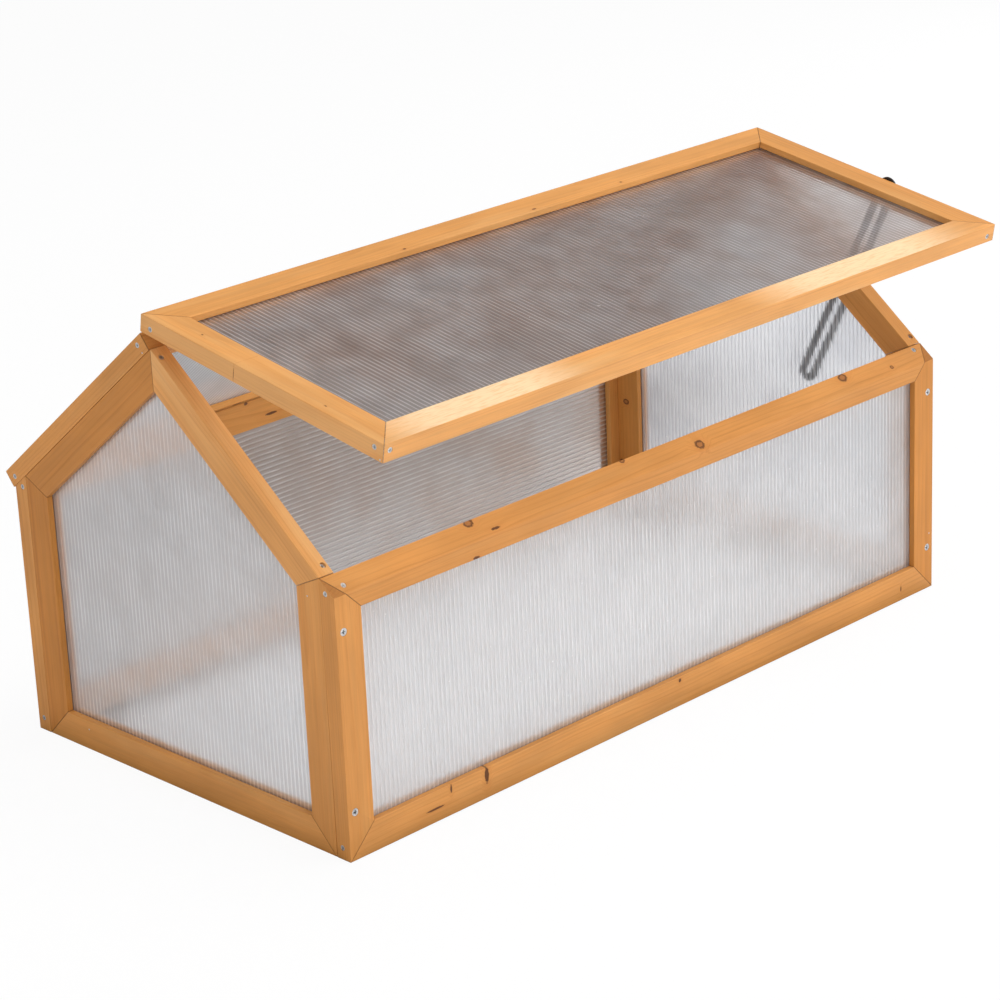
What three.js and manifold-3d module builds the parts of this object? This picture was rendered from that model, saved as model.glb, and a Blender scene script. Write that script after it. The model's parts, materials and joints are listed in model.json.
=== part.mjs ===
// A wooden cold frame with a gable roof: two pentagonal ends, a long front and a long back, a fixed
// back roof and a front lid that hinges at the ridge. Every panel is a mitred batten frame round a
// twin-wall sheet. A slotted stay on the right-hand end holds the lid open.
//
// Millimetres. +X runs along the length, +Y from front to back, +Z up. The origin is the middle of
// the underside of the front frame's bottom rail. The lid stands open at its usual propped angle.
import * as THREE from "three";
import { mergeVertices } from "three/addons/utils/BufferGeometryUtils.js";
import Module from "manifold-3d";

const wasm = await Module();
wasm.setup();

// --- Driving dimensions -------------------------------------------------------------------------

const LENGTH = 900; // end to end
const DEPTH = 484; // outer face of the front frame to outer face of the back frame
const EAVE = 286.5; // height of the rafters' lower ends, at the inner faces of front and back
const PITCH = THREE.MathUtils.degToRad(38.7); // slope of the rafters
const BATTEN = 19; // thickness of every batten, and so of every panel
const FACE = 33; // width of every batten's face
const GAP = 0.3; // gap left between pieces that touch
const MITRE_GAP = 0.3;

const SHEET = 4; // twin-wall sheet
const GROOVE_DEPTH = 8; // how far the batten's groove is cut in from its inner edge
const SHEET_PLAY = 1; // space left between the sheet's edge and the groove's bottom

const ROOF_SLOPE = 311; // ridge edge to eave edge of the fixed back roof
const ROOF_SETBACK = 2.4; // how far the back roof starts below the rafters' peak
const LID_SLOPE = 338; // ridge edge to front edge of the lid
const LID_OPEN_SLOPE = THREE.MathUtils.degToRad(10.2); // the lid's fall from level, propped open
const LID_CLOSED_SLOPE = THREE.MathUtils.degToRad(39.0); // the same when shut on the front frame

const HINGE_LENGTH = 50;
const HINGE_SPACING = 600; // between the middles of the two hinges
const LEAF_WIDTH = 17;
const LEAF = 1.2; // thickness of a hinge leaf
const KNUCKLE_RADIUS = 2.6;
const KNUCKLE_BORE = 1.5;
const KNUCKLE_GAP = 0.4;
const PIN_RADIUS = 1.2;
const RIDGE_CLEARANCE = 0.6; // space between the shut lid's ridge edge and the back roof's

const STAY_REACH = 190; // down the lid from its ridge edge to the stay's pivot
const STAY_WIDTH = 24;
const STAY_THICKNESS = 2;
const STAY_STANDOFF = 1.4; // between the stay and the frame's end, filled by a washer
const SLOT_WIDTH = 7;
const SLOT_START = 22; // from the stay's pivot to the centres of the slot's two round ends
const SLOT_END = 261;
const STUD_RADIUS = 2.5; // pivot screw's shank and clamp bolt
const STUD_CLEARANCE = 0.4; // round the pivot screw in the stay
const WASHER = { radius: 7, bore: 2.9, thickness: 0.8 };
const PIVOT_SCREW = { depth: 16, head: 4.8, crown: 3.6, rim: 1, shoulder: 2.4, height: 2.9 };
const CLAMP_BOLT = { tail: 14, head: 5.6, rim: 5.4, crown: 3, shoulder: 1, edge: 2.6, height: 3 };
const WING_NUT = { foot: 5.4, neck: 4.4, height: 6.5, reach: 13.5, top: 11.5, thickness: 2.2 };
const PIVOT_RECESS = { reach: 2.6, blade: 0.6, depth: 1.6, sink: 0.2 };

const SCREW_HEIGHTS = { lower: 50, upper: 235 };
const FRAME_SCREW = { head: 4, shank: 2, length: 40 };
const HINGE_SCREW = { head: 2.7, shank: 1.4, length: 14 };
const HINGE_SCREW_SPREAD = 30; // between a leaf's two screws
const SCREW_SINK = 0.2; // how far a head sits below the face of the wood
const THROUGH = 1; // how far a cutting solid runs past what it cuts

const LEFT = -LENGTH / 2;
const RIGHT = LENGTH / 2;
const FRONT = -BATTEN / 2; // outer face of the front frame
const BACK = FRONT + DEPTH;
const MIDDLE = (FRONT + BACK) / 2;
const PEAK = EAVE + (DEPTH / 2 - BATTEN) * Math.tan(PITCH); // top of the rafters

// --- Materials ----------------------------------------------------------------------------------

const finish = (color, roughness, metalness, opacity = 1) =>
  new THREE.MeshStandardMaterial({ color, roughness, metalness, opacity, transparent: opacity < 1 });

const wood = () => finish(0xd9975a, 0.6, 0);
const twinWall = () => finish(0xd2d2da, 0.35, 0, 0.6);
const zinc = () => finish(0xb4b6b8, 0.35, 0.9);
const blackPaint = () => finish(0x17171a, 0.45, 0.3);

// --- Solids -------------------------------------------------------------------------------------

function solid(geometry) {
  const shell = geometry.index ? geometry.toNonIndexed() : geometry.clone();
  shell.deleteAttribute("normal");
  shell.deleteAttribute("uv");
  const merged = mergeVertices(shell, 1e-4);
  const vertProperties = new Float32Array(merged.attributes.position.array);
  const triVerts = new Uint32Array(merged.index.array);
  return new wasm.Manifold(new wasm.Mesh({ numProp: 3, vertProperties, triVerts }));
}

function mesh(name, body, material) {
  const { vertProperties, triVerts } = body.getMesh();
  const geometry = new THREE.BufferGeometry();
  geometry.setAttribute("position", new THREE.BufferAttribute(vertProperties, 3));
  geometry.setIndex(new THREE.BufferAttribute(triVerts, 1));
  geometry.computeVertexNormals();
  const piece = new THREE.Mesh(geometry, material);
  piece.name = name;
  return piece;
}

// A flat outline given thickness from z = low to z = high.
function slab(outline, low, high, holes = []) {
  const shape = new THREE.Shape(outline);
  shape.holes = holes;
  const geometry = new THREE.ExtrudeGeometry(shape, { depth: high - low, bevelEnabled: false });
  return solid(geometry.translate(0, 0, low));
}

const corner = (x, y) => new THREE.Vector2(x, y);
const rectangle = (width, height) => [
  corner(0, 0),
  corner(width, 0),
  corner(width, height),
  corner(0, height),
];

// A body of revolution about z. The profile lists [radius, z] from the low end of the axis up.
function turned(profile, segments = 20) {
  const points = profile.map(([radius, z]) => corner(radius, z));
  return solid(new THREE.LatheGeometry(points, segments).rotateX(Math.PI / 2));
}

function rod(radius, low, high, segments) {
  return turned([[0, low], [radius, low], [radius, high], [0, high]], segments);
}

function ring(radius, bore, low, high, segments) {
  const profile = [[bore, low], [radius, low], [radius, high], [bore, high], [bore, low]];
  return turned(profile, segments);
}

// Moves a solid's own x and y axes onto the two directions given, and its origin to a point.
function poseMatrix(xAxis, yAxis, origin) {
  const zAxis = new THREE.Vector3().crossVectors(xAxis, yAxis);
  return new THREE.Matrix4().makeBasis(xAxis, yAxis, zAxis).setPosition(origin);
}

const placed = (body, matrix) => body.transform(matrix.elements);
const vector = (x, y, z) => new THREE.Vector3(x, y, z);
const X = vector(1, 0, 0);
const Y = vector(0, 1, 0);
const Z = vector(0, 0, 1);

// A matrix that stands a solid's z axis along a direction, from a point.
function along(direction, origin) {
  const side = Math.abs(direction.x) > 0.9 ? Y : X;
  const yAxis = new THREE.Vector3().crossVectors(direction, side);
  return poseMatrix(side, yAxis, origin);
}

// --- Outlines -----------------------------------------------------------------------------------

// Moves each side of a convex outline inwards by its own distance and returns the new corners.
function inset(outline, distances) {
  const lines = outline.map((start, i) => {
    const end = outline[(i + 1) % outline.length];
    const way = end.clone().sub(start).normalize();
    const inward = corner(-way.y, way.x);
    return { point: start.clone().addScaledVector(inward, distances[i]), way };
  });
  return lines.map((line, i) => {
    const before = lines[(i + lines.length - 1) % lines.length];
    const step = line.point.clone().sub(before.point).cross(line.way);
    return before.point.clone().addScaledVector(before.way, step / before.way.cross(line.way));
  });
}

const insetAll = (outline, distance) => inset(outline, outline.map(() => distance));

// The battens of one panel and the sheet in their grooves. Local x runs across, y up and z outwards;
// the panel is BATTEN thick from z = 0. names lists the battens side by side round the outline.
// cut maps a batten's name to solids taken away from it.
function panel(outline, names, sheetName, cut = {}, trim = null) {
  const inner = insetAll(outline, FACE);
  const grooveEdge = FACE - GROOVE_DEPTH;
  const lowFace = (BATTEN - SHEET) / 2;
  const groove = slab(insetAll(outline, grooveEdge), lowFace - GAP, lowFace + SHEET + GAP);
  const group = new THREE.Group();
  names.forEach((name, i) => {
    const next = (i + 1) % outline.length;
    const side = [outline[i], outline[next], inner[next], inner[i]];
    const mitred = inset(side, [0, MITRE_GAP / 2, 0, MITRE_GAP / 2]);
    let batten = slab(mitred, 0, BATTEN).subtract(groove);
    if (trim) batten = batten.subtract(trim);
    for (const tool of cut[name] ?? []) batten = batten.subtract(tool);
    group.add(mesh(name, batten, wood()));
  });
  const sheetOutline = insetAll(outline, grooveEdge + SHEET_PLAY);
  group.add(mesh(sheetName, slab(sheetOutline, lowFace, lowFace + SHEET), twinWall()));
  return group;
}

function stand(group, xAxis, yAxis, origin) {
  group.applyMatrix4(poseMatrix(xAxis, yAxis, origin));
  return group;
}

// --- Screws -------------------------------------------------------------------------------------

// A countersunk screw: z = 0 is the face of its head and the shank runs down from there.
function countersunk({ head, shank, length }, spare = 0) {
  const tip = shank * 1.6;
  return turned(
    [
      [0, -length - spare],
      [shank * 0.2 + spare, -length - spare],
      [shank + spare, -length + tip - spare],
      [shank + spare, shank - head],
      [head + spare, 0],
      [head + spare, spare],
      [0, spare],
    ],
    16,
  );
}

function crossRecess(width, blade, depth) {
  const bar = (w, h) => slab([corner(-w, -h), corner(w, -h), corner(w, h), corner(-w, h)], -depth, THROUGH);
  return bar(width, blade).add(bar(blade, width));
}

function screw(spec) {
  return countersunk(spec).subtract(crossRecess(spec.head * 0.55, spec.head * 0.13, spec.head * 0.5));
}

// --- Ends, front and back -----------------------------------------------------------------------

const screwHeights = Object.values(SCREW_HEIGHTS);

// The gable outline from the front corner round; local x = 0 is the front post's front edge.
function endOutline() {
  const span = DEPTH - 2 * (BATTEN + GAP);
  const eave = EAVE + GAP * Math.tan(PITCH);
  return [corner(0, 0), corner(span, 0), corner(span, eave), corner(span / 2, PEAK), corner(0, eave)];
}

// Blind holes for the frame screws' ends in both posts of an end.
function postHoles() {
  const span = endOutline()[1].x;
  const start = BATTEN + GAP - SCREW_SINK;
  const holesAt = (x, direction) =>
    screwHeights.map((height) => {
      const mouth = vector(x, height, BATTEN / 2).addScaledVector(direction, -start);
      return placed(countersunk(FRAME_SCREW, GAP), along(direction.clone().negate(), mouth));
    });
  return { low: holesAt(0, X), high: holesAt(span, X.clone().negate()) };
}

const rafterMiddle = FACE / 2; // down from the rafter's top edge to the clamp bolt

function endPanel(side, boltHoles = []) {
  const isRight = side === "right";
  const near = isRight ? "front" : "back";
  const far = isRight ? "back" : "front";
  const names = [
    `${side}_end_bottom_rail`,
    `${side}_end_${far}_post`,
    `${side}_end_${far}_rafter`,
    `${side}_end_${near}_rafter`,
    `${side}_end_${near}_post`,
  ];
  const holes = postHoles();
  const cut = {
    [`${side}_end_${near}_post`]: holes.low,
    [`${side}_end_${far}_post`]: holes.high,
    [`${side}_end_front_rafter`]: boltHoles,
  };
  const group = panel(endOutline(), names, `${side}_end_sheet`, cut);
  const faceX = isRight ? RIGHT - BATTEN : LEFT + BATTEN;
  const startY = isRight ? FRONT + BATTEN + GAP : BACK - BATTEN - GAP;
  return stand(group, isRight ? Y : Y.clone().negate(), Z, vector(faceX, startY, 0));
}

// A long frame, its top edge bevelled to the roof slope, with screws into both ends' posts.
// Seen from outside, firstEnd is on the left.
function longPanel(face, firstEnd, secondEnd) {
  const slopeAt = (z) => EAVE - z * Math.tan(PITCH);
  const above = EAVE + BATTEN;
  const [low, high] = [-THROUGH, BATTEN + THROUGH];
  const outline = [
    corner(slopeAt(low), low),
    corner(above, low),
    corner(above, high),
    corner(slopeAt(high), high),
  ];
  const bevel = slab(outline, -THROUGH, LENGTH + THROUGH);
  const trim = placed(bevel, poseMatrix(Y, Z, vector(0, 0, 0)));
  const spots = { [firstEnd]: BATTEN / 2, [secondEnd]: LENGTH - BATTEN / 2 };
  const faceOfHead = BATTEN - SCREW_SINK;
  const cut = {};
  const screws = [];
  for (const [end, x] of Object.entries(spots)) {
    cut[`${face}_${end}_stile`] = [];
    for (const [level, height] of Object.entries(SCREW_HEIGHTS)) {
      const place = new THREE.Matrix4().setPosition(x, height, faceOfHead);
      cut[`${face}_${end}_stile`].push(placed(countersunk(FRAME_SCREW, GAP), place));
      screws.push(mesh(`${face}_${end}_${level}_screw`, placed(screw(FRAME_SCREW), place), zinc()));
    }
  }
  const names = [
    `${face}_bottom_rail`,
    `${face}_${secondEnd}_stile`,
    `${face}_top_rail`,
    `${face}_${firstEnd}_stile`,
  ];
  const group = panel(rectangle(LENGTH, EAVE), names, `${face}_sheet`, cut, trim);
  group.add(...screws);
  const isFront = face === "front";
  const xAxis = isFront ? X : X.clone().negate();
  const origin = vector(isFront ? LEFT : RIGHT, isFront ? FRONT + BATTEN : BACK - BATTEN, 0);
  return stand(group, xAxis, Z, origin);
}

// --- Roof, lid and the hinge line ---------------------------------------------------------------

const roofUp = vector(0, -Math.cos(PITCH), Math.sin(PITCH)); // along the back roof to the ridge
const roofOut = vector(0, Math.sin(PITCH), Math.cos(PITCH));
const slopeUp = (fall) => vector(0, Math.cos(fall), Math.sin(fall)); // along the lid to the ridge
const lidOut = (fall) => vector(0, -Math.sin(fall), Math.cos(fall));

// The upper ridge corner of the back roof.
const roofCorner = vector(0, MIDDLE, PEAK)
  .addScaledVector(roofOut, GAP + BATTEN)
  .addScaledVector(roofUp, -ROOF_SETBACK);
// Where the shut lid's ridge face meets the plane of the back roof's top.
const ridgeCorner = roofCorner.clone().addScaledVector(roofUp, RIDGE_CLEARANCE);
// The hinge axis lies as far out from the shut lid's ridge face as from the back roof's top.
const axisHeight = KNUCKLE_RADIUS + GAP;
const ridgeFold = slopeUp(LID_CLOSED_SLOPE).add(roofOut).normalize();
const axis = ridgeCorner
  .clone()
  .addScaledVector(ridgeFold, axisHeight / ridgeFold.dot(roofOut));

// The lid's lower ridge corner at a given fall: it turns about the hinge axis.
const shutCorner = ridgeCorner.clone().sub(axis);
const cornerAlong = shutCorner.dot(slopeUp(LID_CLOSED_SLOPE));
const cornerOut = shutCorner.dot(lidOut(LID_CLOSED_SLOPE));
const lidCorner = axis
  .clone()
  .addScaledVector(slopeUp(LID_OPEN_SLOPE), cornerAlong)
  .addScaledVector(lidOut(LID_OPEN_SLOPE), cornerOut);

const hingeSpots = { left: -HINGE_SPACING / 2, right: HINGE_SPACING / 2 };
const screwAlongLeaf = KNUCKLE_RADIUS + (LEAF_WIDTH - KNUCKLE_RADIUS) / 2;
const screwSeat = LEAF + GAP; // height of a hinge screw's face above the wood

// The hinge screws of one leaf, in the leaf's own frame: x along the pin, y away from it, z outwards
// from the wood, with z = 0 on the hinge axis.
function leafScrewPlaces() {
  const seat = screwSeat - axisHeight;
  return [-HINGE_SCREW_SPREAD / 2, HINGE_SCREW_SPREAD / 2].map((x) =>
    new THREE.Matrix4().setPosition(x, screwAlongLeaf, seat),
  );
}

// One leaf: a plate with its knuckles rolled round the pin. owns lists which thirds it carries.
function hingeLeaf(owns) {
  const third = HINGE_LENGTH / 3;
  const low = GAP - axisHeight;
  const plate = slab(
    [
      corner(-HINGE_LENGTH / 2, 0),
      corner(HINGE_LENGTH / 2, 0),
      corner(HINGE_LENGTH / 2, LEAF_WIDTH),
      corner(-HINGE_LENGTH / 2, LEAF_WIDTH),
    ],
    low,
    low + LEAF,
  );
  const barrelPlace = (start) => along(X, vector(start, 0, 0));
  let leaf = plate;
  for (let i = 0; i < 3; i += 1) {
    const start = -HINGE_LENGTH / 2 + i * third;
    if (owns.includes(i)) {
      const knuckle = rod(KNUCKLE_RADIUS, KNUCKLE_GAP / 2, third - KNUCKLE_GAP / 2, 24);
      leaf = leaf.add(placed(knuckle, barrelPlace(start)));
    } else {
      const clearance = rod(KNUCKLE_RADIUS + KNUCKLE_GAP, 0, third, 24);
      leaf = leaf.subtract(placed(clearance, barrelPlace(start)));
    }
  }
  const bore = rod(KNUCKLE_BORE, -THROUGH, HINGE_LENGTH + THROUGH, 20);
  leaf = leaf.subtract(placed(bore, barrelPlace(-HINGE_LENGTH / 2)));
  for (const place of leafScrewPlaces()) {
    leaf = leaf.subtract(placed(countersunk(HINGE_SCREW, GAP), place));
  }
  return leaf;
}

// A leaf's frame on the axis, from the direction that its plate runs in and the wood's outward normal.
function leafFrame(away, outward, x) {
  const origin = vector(x, axis.y, axis.z);
  return new THREE.Matrix4()
    .makeBasis(new THREE.Vector3().crossVectors(away, outward), away, outward)
    .setPosition(origin);
}

const roofLeafFrame = (x) => leafFrame(roofUp.clone().negate(), roofOut, x);
const lidLeafFrame = (x) => leafFrame(lidOut(LID_OPEN_SLOPE), slopeUp(LID_OPEN_SLOPE), x);

// Holes for the hinge screws, in the frame of the panel that holds them.
function hingeScrewHoles(frameOf, panelMatrix) {
  const toPanel = panelMatrix.clone().invert();
  return Object.values(hingeSpots).flatMap((x) =>
    leafScrewPlaces().map((place) => {
      const matrix = toPanel.clone().multiply(frameOf(x)).multiply(place);
      return placed(countersunk(HINGE_SCREW, GAP), matrix);
    }),
  );
}

function hinges() {
  const group = new THREE.Group();
  const addLeaf = (side, wing, frame, owns) => {
    const fitted = new THREE.Group();
    fitted.add(mesh(`${side}_hinge_${wing}_leaf`, hingeLeaf(owns), zinc()));
    leafScrewPlaces().forEach((place, i) => {
      const name = `${side}_hinge_${wing}_screw_${i + 1}`;
      fitted.add(mesh(name, placed(screw(HINGE_SCREW), place), zinc()));
    });
    fitted.applyMatrix4(frame);
    group.add(fitted);
  };
  for (const [side, x] of Object.entries(hingeSpots)) {
    addLeaf(side, "roof", roofLeafFrame(x), [0, 2]);
    addLeaf(side, "lid", lidLeafFrame(x), [1]);
    const half = HINGE_LENGTH / 2 + 0.5;
    const pin = mesh(`${side}_hinge_pin`, rod(PIN_RADIUS, -half, half, 16), zinc());
    pin.applyMatrix4(along(X, vector(x, axis.y, axis.z)));
    group.add(pin);
  }
  return group;
}

function roofPanel() {
  const low = roofCorner.clone().addScaledVector(roofOut, -BATTEN).addScaledVector(roofUp, -ROOF_SLOPE);
  const matrix = poseMatrix(X.clone().negate(), roofUp, vector(RIGHT, low.y, low.z));
  const names = ["roof_eave_rail", "roof_left_rail", "roof_ridge_rail", "roof_right_rail"];
  const cut = { roof_ridge_rail: hingeScrewHoles(roofLeafFrame, matrix) };
  const group = panel(rectangle(LENGTH, ROOF_SLOPE), names, "roof_sheet", cut);
  group.applyMatrix4(matrix);
  return group;
}

// --- Stay ---------------------------------------------------------------------------------------

const lidDown = slopeUp(LID_OPEN_SLOPE).negate();
const stayPivot = lidCorner
  .clone()
  .addScaledVector(lidDown, STAY_REACH)
  .addScaledVector(lidOut(LID_OPEN_SLOPE), BATTEN / 2);
const stayRadius = Math.hypot(stayPivot.y - axis.y, stayPivot.z - axis.z);

// The clamp bolt stands on the rafter's middle line, as far from the hinge axis as the stay's pivot
// is. Pivot, bolt and axis then make an isosceles triangle, so the stay turns on the lid by exactly
// half the angle that the lid turns on the frame.
function clampPoint() {
  const rafterDown = vector(0, -Math.cos(PITCH), -Math.sin(PITCH));
  const start = vector(0, MIDDLE, PEAK).addScaledVector(lidOut(PITCH), -rafterMiddle);
  const toStart = start.clone().sub(vector(0, axis.y, axis.z));
  const half = toStart.dot(rafterDown);
  const reach = -half + Math.sqrt(half * half - toStart.lengthSq() + stayRadius * stayRadius);
  return start.addScaledVector(rafterDown, reach);
}

const clamp = clampPoint();
const stayX = RIGHT + STAY_STANDOFF; // inner face of the stay
const outerX = stayX + STAY_THICKNESS; // outer face of the stay

// A straight bar with round ends; y runs along it from the first end's centre.
function roundedBar(width, start, end) {
  const path = new THREE.Path();
  path.absarc(0, start, width / 2, Math.PI, 2 * Math.PI, false);
  path.absarc(0, end, width / 2, 0, Math.PI, false);
  return path.getPoints(10).slice(0, -1);
}

function stayArm() {
  const slot = new THREE.Path(roundedBar(SLOT_WIDTH, SLOT_START, SLOT_END));
  const hole = new THREE.Path().absarc(0, 0, STUD_RADIUS + STUD_CLEARANCE, 0, 2 * Math.PI, true);
  const outline = roundedBar(STAY_WIDTH, 0, SLOT_END);
  const arm = mesh("stay_arm", slab(outline, 0, STAY_THICKNESS, [slot, hole]), blackPaint());
  const down = vector(0, clamp.y - stayPivot.y, clamp.z - stayPivot.z).normalize();
  const across = new THREE.Vector3().crossVectors(down, X);
  return stand(new THREE.Group().add(arm), across, down, vector(stayX, stayPivot.y, stayPivot.z));
}

const pivotHeadLow = STAY_THICKNESS + STAY_STANDOFF + GAP; // from the end's face to the head's seat

// A pan-headed screw through the stay into the lid's right rail; z = 0 is the rail's outer face.
function pivotScrew(spare = 0) {
  const { depth, head, crown, rim, shoulder, height } = PIVOT_SCREW;
  return turned(
    [
      [0, -depth - spare],
      [STUD_RADIUS + spare, -depth - spare],
      [STUD_RADIUS + spare, pivotHeadLow],
      [head, pivotHeadLow],
      [head, pivotHeadLow + rim],
      [crown, pivotHeadLow + shoulder],
      [0, pivotHeadLow + height],
    ],
    20,
  );
}

const washer = () => ring(WASHER.radius, WASHER.bore, 0, WASHER.thickness, 24);
const boltEnd = STAY_STANDOFF + STAY_THICKNESS + CLAMP_BOLT.tail;
const boltNeck = BATTEN + GAP; // from the end's outer face in to the head's seat

// A dome-headed bolt from inside the right-hand end; z = 0 is the rafter's outer face.
function clampBolt() {
  const { head, rim, crown, shoulder, edge, height } = CLAMP_BOLT;
  return turned(
    [
      [0, -boltNeck - height],
      [crown, -boltNeck - edge],
      [rim, -boltNeck - shoulder],
      [head, -boltNeck],
      [STUD_RADIUS, -boltNeck],
      [STUD_RADIUS, boltEnd],
      [0, boltEnd],
    ],
    20,
  );
}

// A wing nut about z: a tapered hub with two upswept wings.
function wingNut() {
  const { foot, neck, height, reach, top, thickness } = WING_NUT;
  const hub = turned([[0, 0], [foot, 0], [neck, height], [0, height]], 24);
  const root = 2; // the wing starts inside the hub, this far from its axis
  const lift = 0.6; // the wing's lower edge stands this far above the hub's foot
  const tip = 3.4; // radius of the wing's rounded end
  const outline = new THREE.Shape();
  outline.moveTo(root, lift);
  outline.lineTo(foot - 0.4, lift);
  outline.quadraticCurveTo(reach * (2 / 3), lift + 1, reach - 2.5, lift + 4);
  outline.absarc(reach - tip, top - tip, tip, -0.6, Math.PI * 0.8, false);
  outline.lineTo(root, height - 1.5);
  const wing = slab(outline.getPoints(6), -thickness / 2, thickness / 2);
  const upright = placed(wing, poseMatrix(X, Z, vector(0, 0, 0)));
  const opposite = placed(wing, poseMatrix(X.clone().negate(), Z, vector(0, 0, 0)));
  return hub.add(upright).add(opposite).subtract(rod(STUD_RADIUS + GAP, -THROUGH, top + THROUGH, 20));
}

const endFrame = (x, point) => along(X, vector(x, point.y, point.z));

function stay() {
  const group = stayArm();
  const hardware = [
    ["stay_pivot_screw", pivotScrew().subtract(pivotRecess()), RIGHT, stayPivot],
    ["stay_pivot_washer", washer(), RIGHT + GAP, stayPivot],
    ["stay_clamp_bolt", clampBolt(), RIGHT, clamp],
    ["stay_clamp_washer", washer(), outerX + GAP, clamp],
    ["stay_wing_nut", wingNut(), outerX + WASHER.thickness + 2 * GAP, clamp],
  ];
  const all = new THREE.Group().add(group);
  for (const [name, body, x, point] of hardware) {
    const piece = new THREE.Group().add(mesh(name, body, zinc()));
    piece.applyMatrix4(endFrame(x, point));
    all.add(piece);
  }
  return all;
}

function pivotRecess() {
  const { reach, blade, depth, sink } = PIVOT_RECESS;
  const mouth = pivotHeadLow + PIVOT_SCREW.height - sink;
  return placed(crossRecess(reach, blade, depth), new THREE.Matrix4().setPosition(0, 0, mouth));
}

function lidPanel() {
  const up = slopeUp(LID_OPEN_SLOPE);
  const low = lidCorner.clone().addScaledVector(up, -LID_SLOPE);
  const matrix = poseMatrix(X, up, vector(LEFT, low.y, low.z));
  const toPanel = matrix.clone().invert();
  const pivotHole = placed(pivotScrew(GAP), toPanel.clone().multiply(endFrame(RIGHT, stayPivot)));
  const names = ["lid_front_rail", "lid_right_rail", "lid_ridge_rail", "lid_left_rail"];
  const cut = {
    lid_ridge_rail: hingeScrewHoles(lidLeafFrame, matrix),
    lid_right_rail: [pivotHole],
  };
  const group = panel(rectangle(LENGTH, LID_SLOPE), names, "lid_sheet", cut);
  group.applyMatrix4(matrix);
  return group;
}

// The clamp bolt's hole through the right-hand front rafter, in that end panel's own frame.
function clampHole() {
  const endMatrix = poseMatrix(Y, Z, vector(RIGHT - BATTEN, FRONT + BATTEN + GAP, 0));
  const matrix = endMatrix.invert().multiply(endFrame(RIGHT, clamp));
  return placed(rod(STUD_RADIUS + GAP, -BATTEN - THROUGH, THROUGH, 20), matrix);
}

// --- The whole cold frame -----------------------------------------------------------------------

const coldFrame = new THREE.Group();
coldFrame.name = "cold_frame";
coldFrame.add(
  endPanel("left"),
  endPanel("right", [clampHole()]),
  longPanel("front", "left", "right"),
  longPanel("back", "right", "left"),
  roofPanel(),
  lidPanel(),
  hinges(),
  stay(),
);

export default coldFrame;
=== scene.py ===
"""Looks of a wooden cold frame: eased battens with grain and knots, hollow twin-wall sheets, threaded
screws, hinges and a slotted stay, on a pale floor in soft light. Metres, in the CAD's own frame."""

import json
import math
import random

import bmesh
import bpy
from mathutils import Matrix, Vector


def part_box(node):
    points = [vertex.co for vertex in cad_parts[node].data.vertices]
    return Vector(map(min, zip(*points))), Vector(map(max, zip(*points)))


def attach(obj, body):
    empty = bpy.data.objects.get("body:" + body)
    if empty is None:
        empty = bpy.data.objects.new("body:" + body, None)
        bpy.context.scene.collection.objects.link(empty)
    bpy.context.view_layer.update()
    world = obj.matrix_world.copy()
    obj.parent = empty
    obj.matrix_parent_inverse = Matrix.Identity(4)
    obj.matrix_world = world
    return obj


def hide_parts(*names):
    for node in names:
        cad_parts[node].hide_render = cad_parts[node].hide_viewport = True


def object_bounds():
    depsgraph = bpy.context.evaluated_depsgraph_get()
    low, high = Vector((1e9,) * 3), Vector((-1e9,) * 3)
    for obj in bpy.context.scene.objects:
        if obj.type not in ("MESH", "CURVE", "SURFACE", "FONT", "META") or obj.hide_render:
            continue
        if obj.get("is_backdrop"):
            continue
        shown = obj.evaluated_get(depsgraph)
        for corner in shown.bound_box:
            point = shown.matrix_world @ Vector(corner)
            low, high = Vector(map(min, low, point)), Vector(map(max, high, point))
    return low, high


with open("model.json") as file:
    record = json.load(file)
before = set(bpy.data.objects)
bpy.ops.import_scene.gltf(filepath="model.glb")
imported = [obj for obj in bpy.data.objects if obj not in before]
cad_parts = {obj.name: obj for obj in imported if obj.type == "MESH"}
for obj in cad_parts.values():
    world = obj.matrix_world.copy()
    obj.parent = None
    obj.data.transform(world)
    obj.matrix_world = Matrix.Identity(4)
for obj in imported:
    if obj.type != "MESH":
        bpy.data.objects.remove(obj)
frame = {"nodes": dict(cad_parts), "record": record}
cad_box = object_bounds()

MM = 0.001
X = Vector((1, 0, 0))
Y = Vector((0, 1, 0))
Z = Vector((0, 0, 1))
BODY_OF = {
    node: body
    for body, nodes in frame["record"]["behaviour"]["bodies"].items()
    for node in nodes
}

# --- Camera ---

VIEW_AZIMUTH = math.radians(-44.32)
VIEW_ELEVATION = math.radians(20.36)
VIEW_ROLL = math.radians(2.57)
VIEW_AIM = Vector((-0.0252, 0.2011, 0.1948))
VIEW_DISTANCE = 3.307
LENS = 112.0
SENSOR = 36.0

# --- Sizes ---

WELD = 0.01 * MM
EASING = 0.8 * MM  # how far the battens' long edges are rounded off
SAWN = 0.55  # a face is a sawn end if its normal lies along the batten by more than this share
RIB_PITCH = 5.7 * MM
SKIN = 0.35 * MM
RIB = 0.35 * MM
SIDE_GAP = 0.3  # least gap between a sheet's side and its first whole rib's middle, in rib pitches
BATTEN = 19 * MM
MITRE_SCREW = {"head": 2.8 * MM, "shank": 1.25 * MM}
LONG_SCREW = 30 * MM
SHORT_SCREW = 17 * MM
MITRE_SCREW_INSET = 12 * MM  # from a panel's corner, along its side
BEVEL_ROOM = 3 * MM  # how much lower an upper screw sits under a bevelled rail
SCREW_SINK = 0.3 * MM
HOLE_PLAY = 0.3 * MM
STUD = 2.35 * MM  # radius of the clamp bolt's and pivot screw's plain shanks
LEAF_EASING = 0.2 * MM
STAY_EASING = 0.35 * MM  # on the stay arm and the wing nut
FRAME_SCREW = {"head": 4 * MM, "shank": 2 * MM, "length": 40 * MM}
HINGE_SCREW = {"head": 2.7 * MM, "shank": 1.4 * MM, "length": 14 * MM}
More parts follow.
